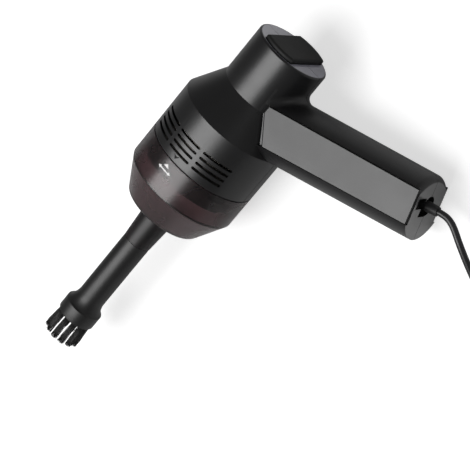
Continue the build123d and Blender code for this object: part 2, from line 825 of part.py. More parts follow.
# Power button: hollow cap with a flange under the neck's top, on the switch's plunger
button_base = neck_top - wall - button_stop_gap - button_flange_thick
cap_solid = extrude(button_outline(station(button_base), 0, neck_radius), amount=button_top - button_base)
cap_hollow = extrude(button_outline(station(button_base), -button_wall, neck_radius),
                     amount=button_top - button_base - button_wall)
rim = extrude(button_outline(station(button_base), button_flange, button_rim_radius),
              amount=button_flange_thick)
with BuildPart() as power_button:
    add(cap_solid)
    top_edges = [edge for edge in power_button.edges()
                 if abs(stand.to_local_coords(edge.center()).X - button_top) < 0.01]
    fillet(top_edges, button_edge)
    add(rim)
    add(cap_hollow, mode=Mode.SUBTRACT)
    with BuildSketch(station(plunger_end)):
        Circle(plunger_side)
    extrude(amount=button_top - button_wall - plunger_end)

with BuildPart() as switch_carrier:
    with BuildSketch(station(carrier_front)):
        Circle(carrier_radius)
        Rectangle(*carrier_window, mode=Mode.SUBTRACT)
        with Locations((-carrier_radius, 0)):
            Rectangle(*carrier_notch, mode=Mode.SUBTRACT)
    extrude(amount=carrier_back - carrier_front)
with BuildPart() as switch_body:
    with BuildSketch(station(carrier_back)):
        Rectangle(switch_side, switch_side)
    extrude(amount=switch_top - carrier_back)
    with BuildSketch(station(plunger_well)):
        Rectangle(plunger_side + 2 * plunger_gap, plunger_side + 2 * plunger_gap)
    extrude(amount=switch_top - plunger_well, mode=Mode.SUBTRACT)
with BuildPart() as switch_plunger:
    with BuildSketch(station(plunger_start)):
        Rectangle(plunger_side, plunger_side)
    extrude(amount=plunger_end - plunger_start)
with BuildPart() as switch_prongs:
    with BuildSketch(station(prong_end)):
        with Locations((0, prong_offset), (0, -prong_offset)):
            Rectangle(prong_width, prong_thickness)
    extrude(amount=carrier_back - prong_end)

# Strain relief and the leads inside the handle
relief_inner = grip_length - grip_end_wall - relief_flange
relief_tip = grip_length + relief_reach
with BuildPart() as strain_relief:
    add(ring([(relief_inner, 0), (relief_inner, relief_flange_radius),
              (relief_inner + relief_flange, relief_flange_radius),
              (relief_inner + relief_flange, relief_radius), (grip_length, relief_radius),
              (relief_tip, relief_tip_radius), (relief_tip, 0)], axis=grip_axis, plane=grip_view))


def inside(reach, height, level):
    """Point in the handle: reach along it, height across it, level above the parting plane."""
    x, y = side_point(reach, height)
    return stand.from_local_coords((x, y, level))


def wire(points, radius, bend):
    """Round wire along straight runs with bends of one radius."""
    with BuildPart() as lead:
        with BuildLine():
            path = FilletPolyline(*points, radius=bend)
        with BuildSketch(Plane(path @ 0, z_dir=path % 0)):
            Circle(radius)
        sweep(path=path)
    return lead.part


supply = []
for spacing, split_level, end_level, end_width in ((lead_spacing, 0, -prong_offset, prong_width),
                                                   (-lead_spacing, lead_split, -tab_offset, tab_width)):
    supply.append(wire([inside(relief_inner, 0, spacing),
                        inside(relief_inner - lead_straight, 0, spacing),
                        inside(*lead_rise, split_level),
                        stand.from_local_coords((lead_station, lead_turn, end_level)),
                        stand.from_local_coords((lead_station, -end_width / 2, end_level))],
                       lead_radius, lead_corner))
with BuildPart() as supply_leads:
    add(supply)
tab_face = tab_offset - tab_thickness / 2
prong_face = prong_offset + prong_thickness / 2
lead_plane = Plane(stand.from_local_coords((lead_station, 0, prong_face)), z_dir=stand.z_dir)
with BuildPart() as motor_lead:
    with BuildSketch(lead_plane):
        Circle(lead_radius / 2)
    extrude(amount=tab_face - prong_face)

# Cord from the strain relief down to the surface, then to the coil
cord_area = math.pi * cord_radius ** 2


def heading_step(heading, fall):
    """Unit step of a run from its heading and its fall."""
    a = math.radians(heading)
    f = math.radians(fall)
    return Vector(math.cos(f) * math.cos(a), math.cos(f) * math.sin(a), -math.sin(f))


def bends(points):
    """Radius of each bend, from the shorter run beside it and its turn."""
    radii = []
    for before, here, after in zip(points, points[1:], points[2:]):
        one = here - before
        two = after - here
        turn = math.radians(one.get_angle(two))
        radii.append(arc_share * min(one.length, two.length) / math.tan(turn / 2))
    return radii


def cord(points, name):
    """Cord along straight runs and tangent arcs; prints its bends and the share of its volume."""
    radii = bends(points)
    with BuildPart() as lead:
        with BuildLine():
            path = FilletPolyline(*points, radius=radii)
        with BuildSketch(Plane(path @ 0, z_dir=path % 0)):
            Circle(cord_radius)
        sweep(path=path)
    share = lead.part.volume / (cord_area * path.length)
    print(name, "length", round(path.length, 1), "bends", [round(r, 1) for r in radii],
          "volume share", round(share, 4))
    for point in points:
        print("   point", [round(value, 3) for value in point])
    return lead.part


lead_points = [grip_origin + grip_dir * relief_tip]
lead_points.append(lead_points[0] + grip_dir * run_lengths[0])
for length, heading, fall in zip(run_lengths[1:], run_headings, run_falls):
    lead_points.append(lead_points[-1] + heading_step(heading, fall) * length)
done = len(run_falls)
landing = math.degrees(math.asin((lead_points[-1].Z - cord_radius) / run_lengths[done + 1]))
for length, heading in zip(run_lengths[done + 1:], run_headings[done:]):
    fall = landing if len(lead_points) == done + 2 else 0
    lead_points.append(lead_points[-1] + heading_step(heading, fall) * length)
cord_lead = cord(lead_points, "cord_lead")

# Coil put down in two layers: it spirals in on the surface, climbs half a turn and spirals out on top
coil_start = lead_points[-1]
coil_heading = run_headings[-1]
ahead = heading_step(coil_heading, 0)
outward = Vector(ahead.Y, -ahead.X, 0)
coil_ahead = cord_radius * 2
coil_centre = coil_start + ahead * coil_ahead - outward * coil_outer
half_turns = 2 * coil_turns


def coil_point(out, on, height):
    """Point of the coil: outwards, onwards and up from its centre."""
    return coil_centre + outward * out + ahead * on + Vector(0, 0, height)


halves = []
for index in range(half_turns):
    centre = 0 if index % 2 == 0 else -coil_pitch / 2
    halves.append((centre, coil_outer - index * coil_pitch / 2, 1 - 2 * (index % 2), 0))
inner_radius = coil_outer - half_turns * coil_pitch / 2
for index in range(half_turns - 1):
    centre = coil_pitch / 2 if index % 2 == 0 else 0
    halves.append((centre, inner_radius + (index + 1) * coil_pitch / 2, 2 * (index % 2) - 1, coil_layer))
climb = math.sqrt(inner_radius ** 2 + coil_layer ** 2 / 4)
with BuildPart() as cord_coil:
    with BuildLine() as coil_line:
        Line(coil_point(coil_outer, -coil_ahead, 0), coil_point(coil_outer, 0, 0))
        for centre, radius, way, height in halves[:half_turns]:
            ThreePointArc(coil_point(centre + way * radius, 0, height),
                          coil_point(centre, way * radius, height),
                          coil_point(centre - way * radius, 0, height))
        TangentArc(coil_point(inner_radius, 0, 0), coil_point(0, climb, coil_layer / 2), tangent=ahead)
        TangentArc(coil_point(0, climb, coil_layer / 2), coil_point(-inner_radius, 0, coil_layer),
                   tangent=outward * (-2 * inner_radius) + Vector(0, 0, coil_layer))
        for centre, radius, way, height in halves[half_turns:]:
            ThreePointArc(coil_point(centre + way * radius, 0, height),
                          coil_point(centre, way * radius, height),
                          coil_point(centre - way * radius, 0, height))
        Line(coil_point(coil_outer, 0, coil_layer), coil_point(coil_outer, coil_ahead, coil_layer))
    coil_path = coil_line.wires()[0]
    with BuildSketch(Plane(coil_start, z_dir=ahead)):
        Circle(cord_radius)
    sweep(path=coil_path)
samples = []
travelled = 0
for edge in coil_line.edges():
    steps = max(2, int(edge.length / cord_radius))
    for step in range(steps):
        samples.append((travelled + edge.length * step / steps, edge @ (step / steps)))
    travelled += edge.length
near = min((a[1] - b[1]).length for i, a in enumerate(samples) for b in samples[i + 1:]
           if b[0] - a[0] > 6 * cord_radius)
print("cord_coil length", round(coil_path.length, 1), "least gap", round(near - 2 * cord_radius, 3),
      "volume share", round(cord_coil.part.volume / (cord_area * coil_path.length), 4))

# Tail from the top of the coil down to the plug
plug_length, plug_width, plug_height = plug_body
tail_points = [coil_point(coil_outer, coil_ahead, coil_layer)]
heading = coil_heading
for index, (length, turn) in enumerate(zip(tail_lengths, tail_turns)):
    heading += turn
    fall = 0
    if index == 1:
        fall = tail_fall
    if index == 2:
        fall = math.degrees(math.asin((tail_points[-1].Z - plug_height / 2) / length))
    tail_points.append(tail_points[-1] + heading_step(heading, fall) * length)
cord_tail = cord(tail_points, "cord_tail")

# USB plug lying flat
plug_way = heading_step(heading, 0)
plug_side = Vector(-plug_way.Y, plug_way.X, 0)
plug_back = tail_points[-1]
shell_reach, shell_width, shell_height = plug_shell


def plug_plane(reach):
    """Plane square to the plug, a reach along it from the back of its grip."""
    return Plane(plug_back + plug_way * reach, x_dir=plug_side, z_dir=plug_way)


with BuildPart() as plug_grip:
    with BuildSketch(plug_plane(0)):
        Rectangle(plug_width, plug_height)
    extrude(amount=plug_length)
    fillet(plug_grip.edges().filter_by(Axis(plug_back, plug_way)), plug_body_edge)
    with BuildSketch(plug_plane(plug_length - plug_root)):
        Rectangle(shell_width, shell_height)
    extrude(amount=plug_root, mode=Mode.SUBTRACT)
with BuildPart() as plug_metal:
    with BuildSketch(plug_plane(plug_length - plug_root)):
        Rectangle(shell_width, shell_height)
        Rectangle(shell_width - 2 * plug_sheet, shell_height - 2 * plug_sheet, mode=Mode.SUBTRACT)
    extrude(amount=plug_root + shell_reach)
    window_plane = Plane(plug_back + plug_way * (plug_length + plug_window_reach), x_dir=plug_way,
                         z_dir=(0, 0, 1))
    with BuildSketch(window_plane):
        with Locations((0, plug_window_pitch / 2), (0, -plug_window_pitch / 2)):
            Rectangle(*plug_window)
    extrude(amount=shell_height, both=True, mode=Mode.SUBTRACT)
tongue_reach, tongue_width, tongue_height = tongue
contact_reach, contact_width, contact_height = contact
tongue_level = shell_height / 2 - plug_sheet - tongue_height / 2
with BuildPart() as plug_tongue:
    with BuildSketch(plug_plane(plug_length - plug_root)):
        with Locations((0, tongue_level)):
            Rectangle(tongue_width, tongue_height)
    extrude(amount=plug_root + tongue_reach)
with BuildPart() as plug_contacts:
    with BuildSketch(plug_plane(plug_length + tongue_reach - contact_reach)):
        with GridLocations(contact_pitch, 1, 4, 1):
            with Locations((0, tongue_level - tongue_height / 2 - contact_height / 2)):
                Rectangle(contact_width, contact_height)
    extrude(amount=contact_reach - contact_inset)

pieces = {"housing_upper": housing_upper.part, "housing_lower": housing_lower.part,
          "side_plate_upper": plates["upper"], "side_plate_lower": plates["lower"],
          "housing_screws": housing_screws.part, "collar": collar.part, "seal_ring": seal_ring.part,
          "dust_cup": dust_cup.part, "filter_frame": filter_frame.part, "filter_sheet": filter_sheet.part,
          "brush_nozzle": brush_nozzle.part, "brush_bristles": brush_bristles, "impeller": impeller.part,
          "motor_shaft": motor_shaft.part, "motor_mount": motor_mount.part,
          "motor_screws": motor_screws.part, "motor_can": motor_can.part, "motor_cap": motor_cap.part,
          "motor_tabs": motor_tabs.part, "motor_armature": armature.part,
          "motor_commutator": commutator_ring.part, "motor_magnets": magnets.part,
          "power_button": power_button.part, "switch_carrier": switch_carrier.part,
          "switch_body": switch_body.part, "switch_plunger": switch_plunger.part,
          "switch_prongs": switch_prongs.part, "strain_relief": strain_relief.part,
          "supply_leads": supply_leads.part, "motor_lead": motor_lead.part, "cord_lead": cord_lead,
          "cord_coil": cord_coil.part, "cord_tail": cord_tail, "plug_grip": plug_grip.part,
          "plug_metal": plug_metal.part, "plug_tongue": plug_tongue.part,
          "plug_contacts": plug_contacts.part}
for label, solids in pieces.items():
    solids.label = label
    export_step(solids, "parts/" + label + ".step")
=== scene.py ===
import math

import bpy
import numpy as np
from mathutils import Matrix, Vector


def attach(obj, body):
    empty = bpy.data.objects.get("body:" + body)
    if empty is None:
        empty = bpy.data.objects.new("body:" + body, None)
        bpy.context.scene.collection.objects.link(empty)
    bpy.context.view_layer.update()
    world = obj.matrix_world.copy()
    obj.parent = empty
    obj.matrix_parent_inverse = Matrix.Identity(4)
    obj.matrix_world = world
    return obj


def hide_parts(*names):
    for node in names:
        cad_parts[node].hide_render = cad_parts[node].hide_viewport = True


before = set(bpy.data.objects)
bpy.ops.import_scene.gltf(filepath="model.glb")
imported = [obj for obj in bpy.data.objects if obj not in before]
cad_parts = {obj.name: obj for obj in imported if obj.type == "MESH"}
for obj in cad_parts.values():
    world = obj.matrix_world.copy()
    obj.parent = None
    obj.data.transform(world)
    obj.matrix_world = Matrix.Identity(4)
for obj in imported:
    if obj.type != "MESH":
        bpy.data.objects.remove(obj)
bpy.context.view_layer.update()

MM = 0.001

# Stance of the barrel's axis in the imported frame, in millimetres and degrees
seam_place = np.array((22.160017, 39.142919, 30.6))
lean = math.radians(8.0497417)
body_radius = 30.6
grip_root = 34.8
grip_tilt = math.radians(18.85)
barrel_way = np.array((1.0, 0.0, 0.0))
level_way = np.array((0.0, math.cos(lean), math.sin(lean)))
upper_way = np.array((0.0, -math.sin(lean), math.cos(lean)))
axes = np.stack((barrel_way, level_way, upper_way))


def placed(points):
    """Points in mm from the seam's middle (station, level, upwards), in the row frame in m."""
    return (seam_place + np.asarray(points, float) @ axes) * MM


# Camera at the photograph's viewing angle
camera_place = Vector((0.430086, -0.469842, 0.889011))
camera_back = Vector((0.395026, -0.439610, 0.806658)).normalized()
camera_up = Vector((0.700888, 0.711868, 0.044722)).normalized()
camera_lens, camera_sensor = 164.408, 36.0
camera_nearest, camera_furthest = 0.05, 20.0

camera_right = camera_up.cross(camera_back).normalized()
camera_up = camera_back.cross(camera_right)
camera = bpy.data.objects.new("camera", bpy.data.cameras.new("camera"))
camera.data.lens = camera_lens
camera.data.sensor_width = camera_sensor
camera.data.clip_start = camera_nearest
camera.data.clip_end = camera_furthest
turned_camera = Matrix((camera_right, camera_up, camera_back)).transposed().to_4x4()
camera.matrix_world = Matrix.Translation(camera_place) @ turned_camera
bpy.context.scene.collection.objects.link(camera)
bpy.context.scene.camera = camera


# Materials

class Nodes:
    """A node tree under construction, with the steps on numbers that every tree here needs."""

    def __init__(self, tree):
        self.tree = tree

    def add(self, kind, **settings):
        node = self.tree.nodes.new(kind)
        for name, value in settings.items():
            setattr(node, name, value)
        return node

    def join(self, source, target):
        self.tree.links.new(source, target)

    def between(self, value, low, high, start=0.3, end=0.7):
        """A value spread between two numbers; noise lies mostly between the two usual ends."""
        node = self.add("ShaderNodeMapRange")
        node.inputs["From Min"].default_value = start
        node.inputs["From Max"].default_value = end
        node.inputs["To Min"].default_value = low
        node.inputs["To Max"].default_value = high
        self.join(value, node.inputs["Value"])
        return node.outputs["Result"]

    def stepped(self, mask, outside, inside):
        """A number that goes from one to the other where a mask is 1."""
        return self.between(mask, outside, inside, 0.0, 1.0)

    def reckoned(self, operation, *values):
        """A number from one mathematical step on numbers."""
        node = self.add("ShaderNodeMath", operation=operation)
        for value, socket in zip(values, node.inputs):
            if isinstance(value, float):
                socket.default_value = value
            else:
                self.join(value, socket)
        return node.outputs["Value"]

    def product(self, first, *others):
        """All numbers multiplied; of masks, a mask where all of them are 1."""
        for other in others:
            first = self.reckoned("MULTIPLY", first, other)
        return first


sockets = {"colour": "Base Color", "roughness": "Roughness", "metallic": "Metallic", "ior": "IOR",
           "coat": "Coat Weight", "specular": "Specular IOR Level", "sheen": "Sheen Weight",
           "transmission": "Transmission Weight"}


class Finish(Nodes):
    """A material under construction: its shader, its output and the piece's own coordinates. The
    edge is half the width of a mask's soft edge, in mm."""

    edge = 0.05

    def __init__(self, name):
        self.material = bpy.data.materials.new(name)
        self.material.use_nodes = True
        super().__init__(self.material.node_tree)
        self.shader = self.tree.nodes["Principled BSDF"]
        self.output = self.tree.nodes["Material Output"]
        self.place = self.add("ShaderNodeTexCoord").outputs["Object"]

    def fixed(self, **values):
        """Sets some of the shader's inputs to numbers."""
        for name, value in values.items():
            self.shader.inputs[sockets[name]].default_value = value
        return self

    def driven(self, **values):
        """Lets values drive some of the shader's inputs."""
        for name, value in values.items():
            self.join(value, self.shader.inputs[sockets[name]])

    def noise(self, size, detail=2.0, roughness=0.5, stretch=None):
        """Noise whose features are about a size across, in metres, squeezed along an axis if
        asked."""
        source = self.place
        if stretch:
            mapping = self.add("ShaderNodeMapping")
            mapping.inputs["Scale"].default_value = stretch
            self.join(source, mapping.inputs["Vector"])
            source = mapping.outputs["Vector"]
        node = self.add("ShaderNodeTexNoise")
        node.inputs["Scale"].default_value = 1.0 / size
        node.inputs["Detail"].default_value = detail
        node.inputs["Roughness"].default_value = roughness
        self.join(source, node.inputs["Vector"])
        return node.outputs["Fac"]

    def mixed(self, mask, first, second):
        """A colour that goes from one to the other where a mask is 1."""
        node = self.add("ShaderNodeMix", data_type="RGBA")
        self.join(mask, node.inputs["Factor"])
        for value, socket in ((first, node.inputs["A"]), (second, node.inputs["B"])):
            if isinstance(value, (tuple, list)):
                socket.default_value = (*value, 1.0)
            else:
                self.join(value, socket)
        return node.outputs["Result"]

    def tones(self, value, first, second):
        """A colour spread between two colours."""
        return self.mixed(self.between(value, 0.0, 1.0), first, second)

    def stance(self):
        """Station, level and height of a point from the seam's middle, along the barrel's axes."""
        centred = self.add("ShaderNodeVectorMath", operation="SUBTRACT")
        centred.inputs[1].default_value = tuple(seam_place * MM)
        self.join(self.place, centred.inputs[0])
        levelled = self.add("ShaderNodeMapping")
        levelled.inputs["Rotation"].default_value = (-lean, 0.0, 0.0)
        self.join(centred.outputs["Vector"], levelled.inputs["Vector"])
        parts = self.add("ShaderNodeSeparateXYZ")
        self.join(levelled.outputs["Vector"], parts.inputs["Vector"])
        return parts.outputs

    def rising(self, value, step):
        """A mask that turns from 0 to 1 where a value passes a step, in mm."""
        return self.between(value, 0.0, 1.0, (step - self.edge) * MM, (step + self.edge) * MM)

    def falling(self, value, step):
        """A mask that turns from 1 to 0 where a value passes a step, in mm."""
        return self.between(value, 1.0, 0.0, (step - self.edge) * MM, (step + self.edge) * MM)

    def band(self, value, low, high):
        """A mask that is 1 where a value lies between two steps, in mm."""
        return self.product(self.rising(value, low), self.falling(value, high))

    def relief(self, height, depth, under=None):
        """Bump of a height map, its depth in metres, on top of another bump if there is one."""
        node = self.add("ShaderNodeBump")
        node.inputs["Distance"].default_value = depth
        node.inputs["Strength"].default_value = 1.0
        self.join(height, node.inputs["Height"])
        if under:
            self.join(under, node.inputs["Normal"])
        self.join(node.outputs["Normal"], self.shader.inputs["Normal"])
        return node.outputs["Normal"]


gloss_patch = 0.021
coarse_grain = 9.0


def moulded(name, tone, roughness, spread, grain=0.0004, depth=0.00001, lift=1.3, **fixed):
    """Moulded plastic: a fine eroded grain, a coarser one, and slow changes of gloss and tone."""
    finish = Finish(name).fixed(**fixed)
    slow = finish.noise(gloss_patch, detail=3.0)
    finish.driven(colour=finish.tones(slow, tone, [c * lift for c in tone]),
                  roughness=finish.between(slow, roughness - spread, roughness + spread))
    fine = finish.relief(finish.noise(grain), depth)
    finish.relief(finish.noise(grain * coarse_grain), depth * 2.0, fine)
    return finish.material


def metal(name, tone, roughness, along=(1.0, 1.0, 1.0)):
    """Metal with a drawn or plated grain, squeezed along one axis."""
    grain, patch, depth = 0.0006, 0.006, 0.000012
    darker, smoothest, roughest = 0.82, 0.75, 1.3
    finish = Finish(name).fixed(metallic=1.0)
    lines = finish.noise(grain, detail=3.0, stretch=along)
    slow = finish.noise(patch)
    finish.driven(colour=finish.tones(slow, tone, [c * darker for c in tone]),
                  roughness=finish.between(lines, roughness * smoothest, roughness * roughest))
    finish.relief(lines, depth)
    return finish.material


# Borders of the housing's finishes, in mm: the neck's flat end and the handle's end face, which
# both carry painted reflections, the part beside the side plate where the blend runs out, and the
# seam
flat_station, flat_radius = 73.8, 19.25
end_reach = 109.4
blend_height, blend_level, blend_stations = 15.55, -12.3, (44.0, 60.0)
seam_station = 0.3


def body_finish():
    """The housing's satin black plastic. The neck's flat end is polished and coated, with a painted
    reflection there: a light blue-grey colour in place of the bright surroundings it mirrors. The
    handle's end face is coated, with a painted reflection of the floor: a lighter grey colour. The
    plastic is left rough along the seam and where the blend of neck and handle runs out beside the
    side plate."""
    satin_dark, satin_light = (0.005, 0.005, 0.0053), (0.0065, 0.0065, 0.0069)
    # Painted reflections: lighter colours for the handle's end face and the neck's flat end,
    # standing in for the floor and surroundings mirrored there
    end_painted_reflection, flat_painted_reflection = (0.13, 0.13, 0.131), (0.36, 0.354, 0.42)
    smoothest, roughest, flat_polish, rough_dulling = 0.33, 0.38, -0.2, 0.55
    grain, grain_depth, ripple, ripple_depth = 0.00028, 0.000012, 0.0025, 0.00001
    finish = Finish("body_black_satin").fixed(specular=0.6)
    slow = finish.noise(gloss_patch, detail=3.0)
    station, level, height = finish.stance()

    square = finish.reckoned("ADD", finish.product(level, level), finish.product(height, height))
    flat = finish.product(finish.rising(station, flat_station),
                          finish.falling(finish.reckoned("SQRT", square), flat_radius))
    blend = finish.product(finish.rising(finish.reckoned("ABSOLUTE", height), blend_height),
                           finish.falling(level, blend_level),
                           finish.band(station, *blend_stations))
    from_root = finish.reckoned("SUBTRACT", station, grip_root * MM)
    reach = finish.reckoned("SUBTRACT", finish.product(from_root, math.sin(grip_tilt)),
                            finish.product(level, math.cos(grip_tilt)))
    end = finish.rising(reach, end_reach)

    satin = finish.tones(slow, satin_dark, satin_light)
    usual = finish.between(slow, smoothest, roughest)
    dull = finish.reckoned("MAXIMUM", blend, finish.falling(station, seam_station))
    change = finish.reckoned("ADD", finish.stepped(flat, 0.0, flat_polish),
                             finish.stepped(dull, 0.0, rough_dulling))
    # The colour carries the painted reflections on the neck's flat end and the handle's end face
    finish.driven(colour=finish.mixed(flat, finish.mixed(end, satin, end_painted_reflection), flat_painted_reflection),
                  coat=finish.reckoned("MAXIMUM", flat, end),
                  roughness=finish.reckoned("ADD", usual, change))
    fine = finish.relief(finish.noise(grain), grain_depth)
    finish.relief(finish.noise(ripple), ripple_depth, fine)
    return finish.material


body_black = body_finish()
inner_black = moulded("inner_black_satin", (0.007, 0.007, 0.0073), roughness=0.42, spread=0.03,
                      grain=0.0003, depth=0.000012)
plate_black = moulded("plate_black_satin", (0.008, 0.008, 0.0083), roughness=0.38, spread=0.02,
                      grain=0.00022, depth=0.000008, specular=0.6)
button_black = moulded("button_black_soft", (0.01, 0.0105, 0.01), roughness=0.62, spread=0.04,
                       grain=0.0003, depth=0.00002, specular=0.3)
nozzle_black = moulded("nozzle_black_satin", (0.007, 0.007, 0.007), roughness=0.43, spread=0.03,
                       grain=0.0003, depth=0.000012)
soft_black = moulded("soft_black_rubber", (0.013, 0.013, 0.014), roughness=0.5, spread=0.05,
                     depth=0.000016, lift=1.4)
cord_black = moulded("cord_black_sheath", (0.014, 0.014, 0.015), roughness=0.32, spread=0.05,
                     grain=0.0009, depth=0.000014)
rotor_plastic = moulded("rotor_pale_plastic", (0.62, 0.6, 0.55), roughness=0.42, spread=0.04,
                        lift=1.1)
motor_plastic = moulded("motor_black_plastic", (0.02, 0.02, 0.021), roughness=0.45, spread=0.05)
filter_white = moulded("filter_white_plastic", (0.72, 0.72, 0.69), roughness=0.42, spread=0.05,
                       lift=1.08)
lead_red = moulded("lead_red_sheath", (0.42, 0.02, 0.018), roughness=0.4, spread=0.04,
                   grain=0.0009, lift=1.15)
steel = metal("steel_ground", (0.6, 0.6, 0.61), roughness=0.3, along=(0.1, 1.0, 1.0))
screw_steel = metal("screw_steel_plated", (0.36, 0.36, 0.37), roughness=0.36)
motor_steel = metal("motor_steel_drawn", (0.56, 0.56, 0.55), roughness=0.34, along=(0.1, 1.0, 1.0))
plug_steel = metal("plug_steel_plated", (0.74, 0.74, 0.75), roughness=0.2, along=(1.0, 1.0, 0.3))
brass = metal("brass_plated", (0.78, 0.58, 0.26), roughness=0.28)
copper_ring = metal("copper_ring_turned", (0.72, 0.4, 0.24), roughness=0.34, along=(6.0, 1.0, 1.0))
magnet_grey = metal("magnet_grey_sintered", (0.16, 0.16, 0.165), roughness=0.6)

# Borders of the dust cup's finishes as stations in mm: where the spout's tone fades in, the cone,
# and the painted shade of the fine line where the wall bends and of the line at the seam
spout_fade = (-37.0, -34.5)
cone_band = (-35.0, -18.6)
bend_band = (-18.8, -18.35)
rim_station = -0.4


def smoky_finish():
    """See-through brown plastic that darkens with the wall's depth: satin faces, faint flow marks,
    a slight haze in the cone, painted shade as a fine dark line where the wall bends and beside the
    seam, and a darker, duller spout."""
    clear_dark, clear_light = (0.82, 0.77, 0.78), (0.88, 0.83, 0.84)
    # The third tone is painted shade, laid on the line at the wall's bend and beside the seam
    spout_tone, cone_tone, line_painted_shade = (0.3, 0.26, 0.3), (0.85, 0.7, 0.72), (0.2, 0.17, 0.17)
    smoothest, roughest, spout_dulling, line_dulling = 0.25, 0.3, 0.16, 0.5
    smoke_tone, smoke_density, cone_clearness = (0.48, 0.38, 0.395), 1000.0, 0.96
    patch, flow_mark, flow_stretch, flow_depth = 0.03, 0.004, (0.25, 1.0, 1.0), 0.00001
    finish = Finish("smoky_clear_plastic").fixed(ior=1.5, specular=0.4)
    slow = finish.noise(patch)
    station = finish.stance()["X"]
    spout = finish.between(station, 1.0, 0.0, spout_fade[0] * MM, spout_fade[1] * MM)
    cone = finish.band(station, *cone_band)
    line = finish.reckoned("MAXIMUM", finish.band(station, *bend_band),
                           finish.rising(station, rim_station))

    tone = finish.mixed(spout, finish.tones(slow, clear_dark, clear_light), spout_tone)
    # Painted shade on the two fine lines
    tone = finish.mixed(line, finish.mixed(cone, tone, cone_tone), line_painted_shade)
    dull = finish.reckoned("MAXIMUM", finish.product(spout, spout_dulling),
                           finish.product(line, line_dulling))
    usual = finish.between(slow, smoothest, roughest)
    finish.driven(colour=tone, transmission=finish.stepped(cone, 1.0, cone_clearness),
                  roughness=finish.reckoned("ADD", usual, dull))
    smoke = finish.add("ShaderNodeVolumeAbsorption")
    smoke.inputs["Color"].default_value = (*smoke_tone, 1.0)
    smoke.inputs["Density"].default_value = smoke_density
    finish.join(smoke.outputs["Volume"], finish.output.inputs["Volume"])
    finish.relief(finish.noise(flow_mark, stretch=flow_stretch), flow_depth)
    return finish.material


def paper_finish():
    """Filter paper: matt, fibrous, a little uneven in tone."""
    darkest, lightest = (0.66, 0.65, 0.6), (0.8, 0.79, 0.74)
    smoothest, roughest = 0.82, 0.95
    fibre, fibre_stretch, fibre_depth = 0.0005, (1.0, 1.0, 0.35), 0.00005
    finish = Finish("filter_paper_pleated").fixed(sheen=0.2)
    fibres = finish.noise(fibre, detail=5.0, roughness=0.7, stretch=fibre_stretch)
    finish.driven(colour=finish.tones(fibres, darkest, lightest),
                  roughness=finish.between(fibres, smoothest, roughest))
    finish.relief(fibres, fibre_depth)
    return finish.material


def bristle_finish():
    """Nylon bristles: black with a soft sheen and strand by strand differences of tone."""
    darkest, lightest = (0.005, 0.005, 0.005), (0.014, 0.0135, 0.0135)
    smoothest, roughest = 0.4, 0.55
    finish = Finish("bristle_black_nylon").fixed(ior=1.53)
    shade = finish.add("ShaderNodeAttribute", attribute_name="strand").outputs["Fac"]
    finish.driven(colour=finish.mixed(shade, darkest, lightest),
                  roughness=finish.stepped(shade, smoothest, roughest))
    return finish.material


def print_finish(name, first, second, roughness):
    """Pad-printed ink with pinholes."""
    pinhole, depth, spread = 0.00025, 0.000008, 0.05
    finish = Finish(name)
    pits = finish.noise(pinhole)
    finish.driven(colour=finish.tones(pits, first, second),
                  roughness=finish.between(pits, roughness - spread, roughness + spread))
    finish.relief(pits, depth)
    return finish.material


smoky_clear = smoky_finish()
filter_paper = paper_finish()
bristle_black = bristle_finish()
white_ink = print_finish("white_ink", (0.68, 0.68, 0.67), (0.85, 0.85, 0.84), roughness=0.5)
dark_ink = print_finish("dark_ink", (0.006, 0.006, 0.006), (0.009, 0.009, 0.009), roughness=0.9)

node_finishes = {
    body_black: ("housing_upper", "housing_lower"),
    inner_black: ("collar", "motor_mount", "switch_carrier"),
    plate_black: ("side_plate_upper", "side_plate_lower"),
    button_black: ("power_button",),
    nozzle_black: ("brush_nozzle",),
    soft_black: ("seal_ring", "strain_relief"),
    smoky_clear: ("dust_cup",),
    filter_white: ("filter_frame", "switch_plunger", "plug_tongue"),
    filter_paper: ("filter_sheet",),
    bristle_black: ("brush_bristles",),
    rotor_plastic: ("impeller",),
    motor_plastic: ("motor_cap", "switch_body"),
    steel: ("motor_shaft", "motor_armature"),
    screw_steel: ("housing_screws", "motor_screws"),
    motor_steel: ("motor_can",),
    magnet_grey: ("motor_magnets",),
    copper_ring: ("motor_commutator",),
    brass: ("motor_tabs", "switch_prongs", "motor_lead", "plug_contacts"),
    lead_red: ("supply_leads",),
    cord_black: ("cord_lead", "cord_coil", "cord_tail", "plug_grip"),
    plug_steel: ("plug_metal",)}
for material, names in node_finishes.items():
    for name in names:
        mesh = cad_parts[name].data
        mesh.materials.clear()
        mesh.materials.append(material)


# Surfaces

def put(name, points, faces, material, body, replaced=()):
    """A mesh piece from arrays of points in metres and of faces, riding on a body."""
    mesh = bpy.data.meshes.new(name)
    mesh.from_pydata(points.reshape(-1, 3).tolist(), [], faces)
    mesh.update()
    mesh.polygons.foreach_set("use_smooth", np.full(len(mesh.polygons), True))
    mesh.materials.append(material)
    piece = bpy.data.objects.new(name, mesh)
    bpy.context.scene.collection.objects.link(piece)
    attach(piece, body)
    if replaced:
        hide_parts(*replaced)
    return piece


def grid_faces(rows, columns, close_rows=False, close_columns=False, start=0):
    """Four-sided faces of a grid of points, its ends joined where asked."""
    r = np.arange(rows if close_rows else rows - 1)
    c = np.arange(columns if close_columns else columns - 1)
    r, c = np.meshgrid(r, c, indexing="ij")
    down, right = (r + 1) % rows, (c + 1) % columns
    faces = np.stack((r * columns + c, r * columns + right, down * columns + right,
                      down * columns + c), -1)
    return (faces.reshape(-1, 4) + start).tolist()


